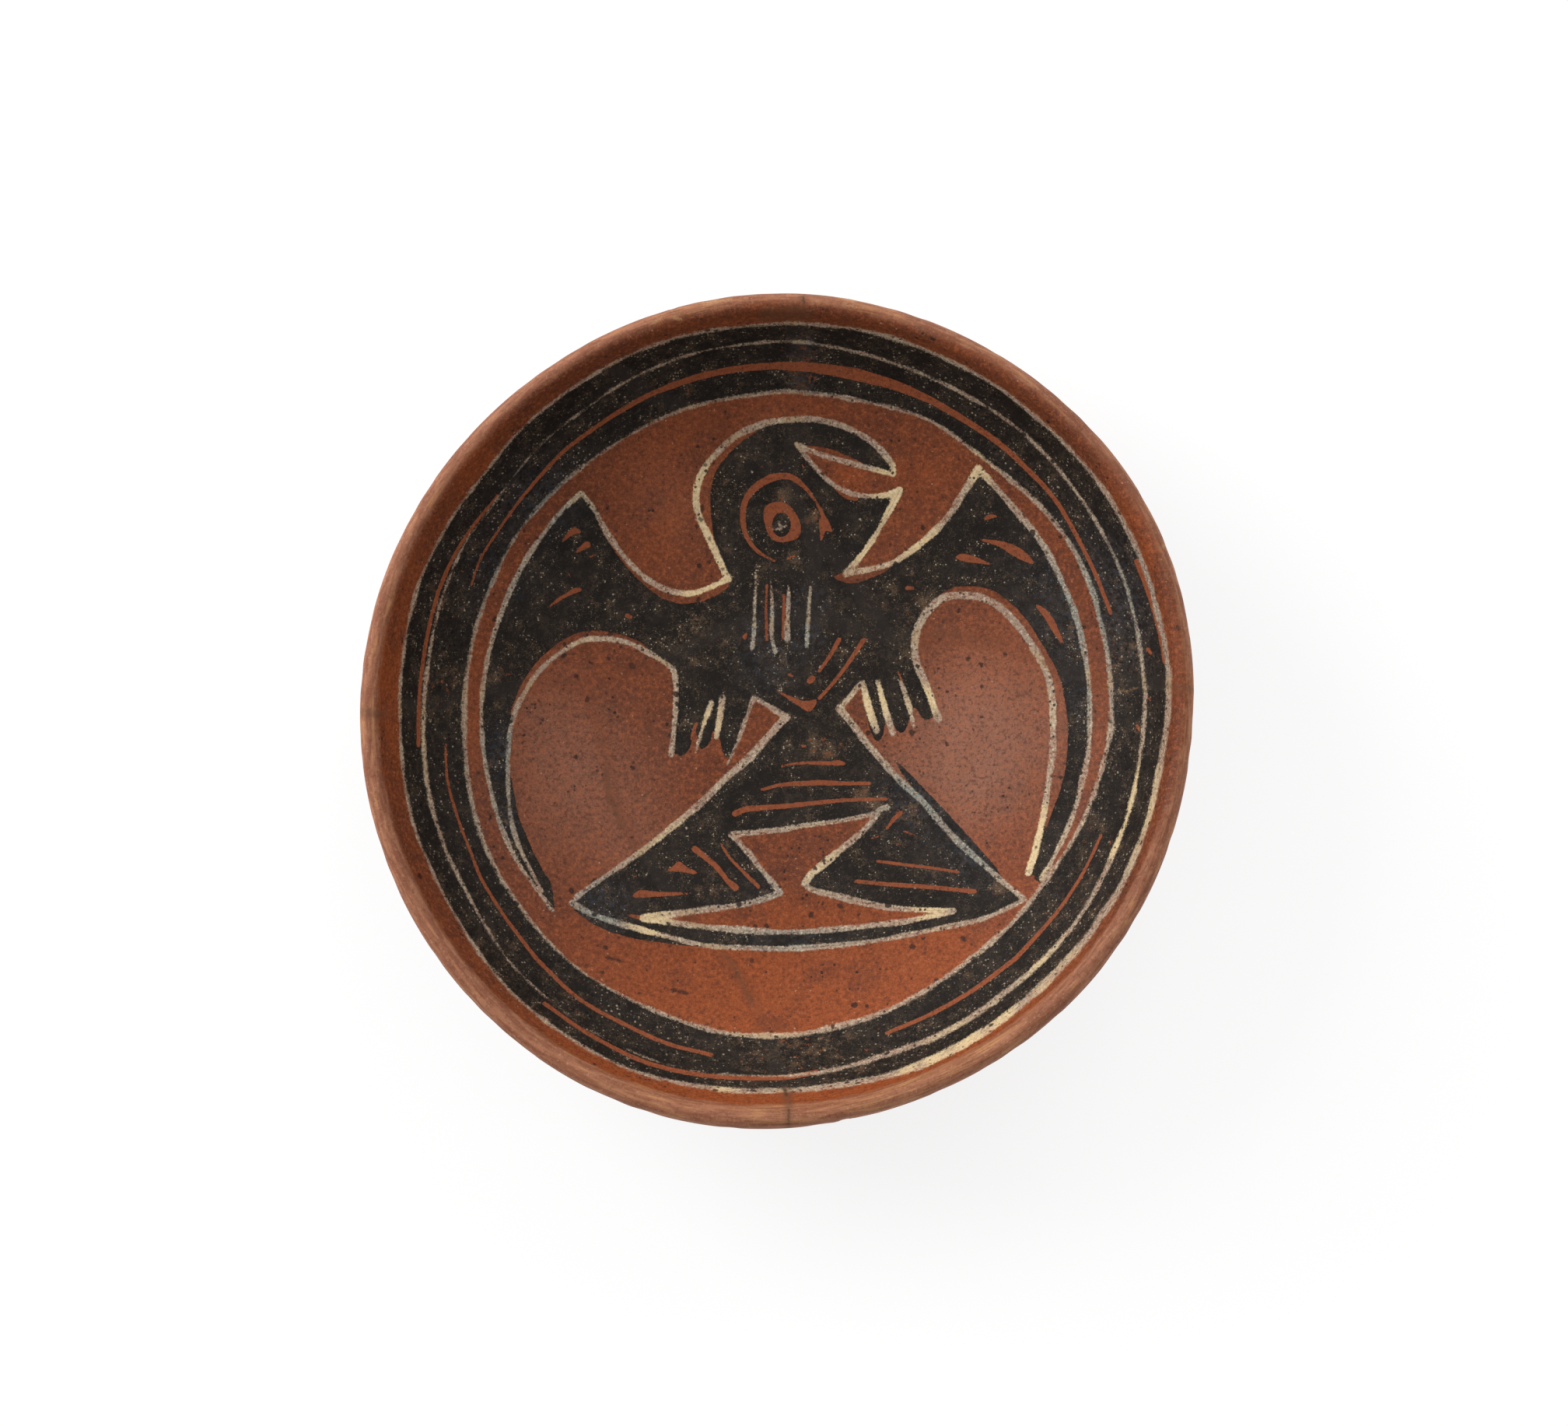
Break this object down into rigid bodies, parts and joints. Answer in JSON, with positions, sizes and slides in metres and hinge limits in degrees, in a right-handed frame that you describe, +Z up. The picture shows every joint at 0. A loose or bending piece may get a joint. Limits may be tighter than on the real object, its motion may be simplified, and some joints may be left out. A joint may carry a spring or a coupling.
{
  "type": "polychrome pottery plate",
  "caption": "Shallow hand-built red-slipped pottery plate with a painted bird-headed figure, mended from sherds with toned filler strips.",
  "frame": {"origin": "middle of the plate's outline, on the surface that its flat base rests on", "axes": "+Z up out of the open side, along the plate's axis; +Y towards the top of the painted figure; +X to the right when the figure is seen upright from above"},
  "size_m": [0.2294, 0.2302, 0.0485],
  "materials": {
    "slipped_clay": "burnished red slip painted black and cream, low sheen, worn and speckled",
    "toned_filler": "matt plaster filler painted over in brown and grey"
  },
  "bodies": {
    "root": {"upper_left_sherd": "slipped_clay", "top_sherd": "slipped_clay", "upper_right_sherd": "slipped_clay", "throat_sherd": "slipped_clay", "lower_left_sherd": "slipped_clay", "lower_right_sherd": "slipped_clay", "top_join_fill": "toned_filler", "shoulder_join_fill": "toned_filler", "left_join_fill": "toned_filler", "centre_join_fill": "toned_filler", "right_join_fill": "toned_filler", "throat_join_fill": "toned_filler", "bottom_join_fill": "toned_filler"}
  },
  "joints": []
}
